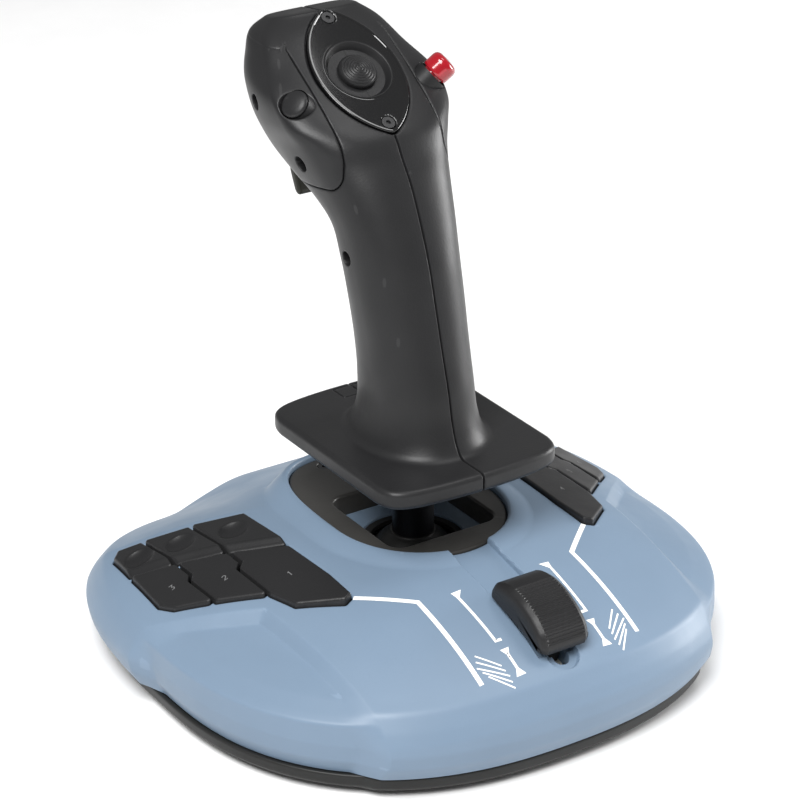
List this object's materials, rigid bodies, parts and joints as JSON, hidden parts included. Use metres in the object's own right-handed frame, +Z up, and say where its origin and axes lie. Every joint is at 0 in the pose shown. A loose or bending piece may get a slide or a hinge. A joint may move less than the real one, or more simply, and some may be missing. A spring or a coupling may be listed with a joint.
{
  "type": "flight joystick",
  "caption": "Desk flight joystick: domed blue base with key groups and a throttle slider, gimballed twisting grip with trigger, hat and head buttons.",
  "frame": {"origin": "middle of the footprint, below the stick axis, on the plane the rubber feet stand on", "axes": "+X to the user's right, +Y away from the user towards the cord inlet, +Z up along the stick shaft at rest"},
  "size_m": [0.2038, 0.194, 0.2084],
  "materials": {
    "base_blue": "satin moulded plastic",
    "black_plastic": "fine textured matte",
    "shell_black": "matte",
    "cover_grey": "satin",
    "gloss_black": "polished",
    "red_gloss": "polished",
    "trigger_olive": "satin",
    "steel": "bright",
    "screw_black": "black oxide",
    "zinc": "die-cast",
    "feet_rubber": "soft matte",
    "gland_rubber": "matte",
    "board_green": "solder mask",
    "silicone": "translucent matte",
    "nylon": "natural",
    "switch_black": "matte",
    "pot_blue": "satin",
    "magnet": "plated"
  },
  "bodies": {
    "base": {"base_top_shell": "base_blue", "base_bottom_shell": "shell_black", "ballast_plate": "zinc", "rubber_feet": "feet_rubber", "case_screws": "steel", "main_board": "board_green", "inlet_plate": "base_blue", "cable_gland": "gland_rubber", "gimbal_cover": "cover_grey", "gimbal_cover_screws": "screw_black", "gate_funnel": "base_blue", "ball_collar": "shell_black", "gimbal_frame": "zinc", "pitch_springs": "steel", "hall_sensor_board": "board_green", "slide_potentiometer": "zinc", "left_button_board": "board_green", "right_button_board": "board_green", "left_dome_mat": "silicone", "right_dome_mat": "silicone"},
    "ring": {"gimbal_ring": "zinc", "roll_springs": "steel"},
    "stick": {"stick_ball": "shell_black", "stick_shaft": "screw_black", "sensor_magnet": "magnet", "shaft_snap_ring": "steel"},
    "handle": {"grip_shell_left": "black_plastic", "grip_shell_right": "black_plastic", "grip_screws": "screw_black", "lower_twist_bush": "nylon", "upper_twist_bush": "nylon", "twist_spring": "steel", "twist_potentiometer": "pot_blue", "side_panel_left": "black_plastic", "side_panel_right": "black_plastic", "side_panel_screws": "screw_black", "hat_plate": "gloss_black", "hat_plate_screws": "screw_black", "hat_switch": "switch_black", "trigger_pin": "steel", "trigger_switch": "switch_black"},
    "hat_gimbal": {"hat_rocker": "nylon"},
    "hat": {"hat_cap": "black_plastic"},
    "left_button": {"left_head_button": "black_plastic"},
    "red_button": {"red_head_button": "red_gloss"},
    "trigger_blade": {"trigger": "trigger_olive"},
    "slider": {"slider_knob": "black_plastic", "slider_carriage": "nylon"},
    "left_key_1": {"left_button_1": "black_plastic"},
    "left_key_2": {"left_button_2": "black_plastic"},
    "left_key_3": {"left_button_3": "black_plastic"},
    "left_key_4": {"left_button_4": "black_plastic"},
    "left_key_5": {"left_button_5": "black_plastic"},
    "left_key_6": {"left_button_6": "black_plastic"},
    "right_key_1": {"right_button_1": "black_plastic"},
    "right_key_2": {"right_button_2": "black_plastic"},
    "right_key_3": {"right_button_3": "black_plastic"},
    "right_key_4": {"right_button_4": "black_plastic"},
    "right_key_5": {"right_button_5": "black_plastic"},
    "right_key_6": {"right_button_6": "black_plastic"}
  },
  "joints": [
    {"name": "stick_pitch", "type": "hinge", "parent": "base", "child": "ring", "pos_m": [0, 0, 0.028], "axis": [1, 0, 0], "range_deg": [-12, 12], "stiffness_Nm_per_rad": 3},
    {"name": "stick_roll", "type": "hinge", "parent": "ring", "child": "stick", "pos_m": [0, 0, 0.028], "axis": [0, 1, 0], "range_deg": [-12, 12], "stiffness_Nm_per_rad": 3},
    {"name": "grip_twist", "type": "hinge", "parent": "stick", "child": "handle", "pos_m": [0, 0, 0.097], "axis": [0, 0, 1], "range_deg": [-15, 15], "stiffness_Nm_per_rad": 0.4},
    {"name": "hat_fore_aft", "type": "hinge", "parent": "handle", "child": "hat_gimbal", "pos_m": [0, 0.03705, 0.18662], "axis": [1, 0, 0], "range_deg": [-6, 6], "stiffness_Nm_per_rad": 0.06},
    {"name": "hat_side", "type": "hinge", "parent": "hat_gimbal", "child": "hat", "pos_m": [0, 0.03705, 0.18662], "axis": [0, 0.8221, 0.5693], "range_deg": [-6, 6], "stiffness_Nm_per_rad": 0.06},
    {"name": "trigger_pull", "type": "hinge", "parent": "handle", "child": "trigger_blade", "pos_m": [0, 0.061, 0.177], "axis": [1, 0, 0], "range_deg": [-9, 0], "stiffness_Nm_per_rad": 0.15, "springref_deg": 3.44},
    {"name": "left_button_press", "type": "slide", "parent": "handle", "child": "left_button", "axis": [0.7185, 0.2488, -0.6494], "range_m": [0, 0.0012], "stiffness_N_per_m": 400, "springref_m": -0.0006},
    {"name": "red_button_press", "type": "slide", "parent": "handle", "child": "red_button", "axis": [-0.7185, 0.2488, -0.6494], "range_m": [0, 0.0012], "stiffness_N_per_m": 400, "springref_m": -0.0006},
    {"name": "slider_travel", "type": "slide", "parent": "base", "child": "slider", "axis": [0, 0.9438, 0.3305], "range_m": [-0.003, 0.008]},
    {"name": "left_key_1_press", "type": "slide", "parent": "base", "child": "left_key_1", "axis": [0, 0, -1], "range_m": [0, 0.0012], "stiffness_N_per_m": 400, "springref_m": -0.0006},
    {"name": "left_key_2_press", "type": "slide", "parent": "base", "child": "left_key_2", "axis": [0, 0, -1], "range_m": [0, 0.0012], "stiffness_N_per_m": 400, "springref_m": -0.0006},
    {"name": "left_key_3_press", "type": "slide", "parent": "base", "child": "left_key_3", "axis": [0, 0, -1], "range_m": [0, 0.0012], "stiffness_N_per_m": 400, "springref_m": -0.0006},
    {"name": "left_key_4_press", "type": "slide", "parent": "base", "child": "left_key_4", "axis": [0, 0, -1], "range_m": [0, 0.0012], "stiffness_N_per_m": 400, "springref_m": -0.0006},
    {"name": "left_key_5_press", "type": "slide", "parent": "base", "child": "left_key_5", "axis": [0, 0, -1], "range_m": [0, 0.0012], "stiffness_N_per_m": 400, "springref_m": -0.0006},
    {"name": "left_key_6_press", "type": "slide", "parent": "base", "child": "left_key_6", "axis": [0, 0, -1], "range_m": [0, 0.0012], "stiffness_N_per_m": 400, "springref_m": -0.0006},
    {"name": "right_key_1_press", "type": "slide", "parent": "base", "child": "right_key_1", "axis": [0, 0, -1], "range_m": [0, 0.0012], "stiffness_N_per_m": 400, "springref_m": -0.0006},
    {"name": "right_key_2_press", "type": "slide", "parent": "base", "child": "right_key_2", "axis": [0, 0, -1], "range_m": [0, 0.0012], "stiffness_N_per_m": 400, "springref_m": -0.0006},
    {"name": "right_key_3_press", "type": "slide", "parent": "base", "child": "right_key_3", "axis": [0, 0, -1], "range_m": [0, 0.0012], "stiffness_N_per_m": 400, "springref_m": -0.0006},
    {"name": "right_key_4_press", "type": "slide", "parent": "base", "child": "right_key_4", "axis": [0, 0, -1], "range_m": [0, 0.0012], "stiffness_N_per_m": 400, "springref_m": -0.0006},
    {"name": "right_key_5_press", "type": "slide", "parent": "base", "child": "right_key_5", "axis": [0, 0, -1], "range_m": [0, 0.0012], "stiffness_N_per_m": 400, "springref_m": -0.0006},
    {"name": "right_key_6_press", "type": "slide", "parent": "base", "child": "right_key_6", "axis": [0, 0, -1], "range_m": [0, 0.0012], "stiffness_N_per_m": 400, "springref_m": -0.0006}
  ]
}
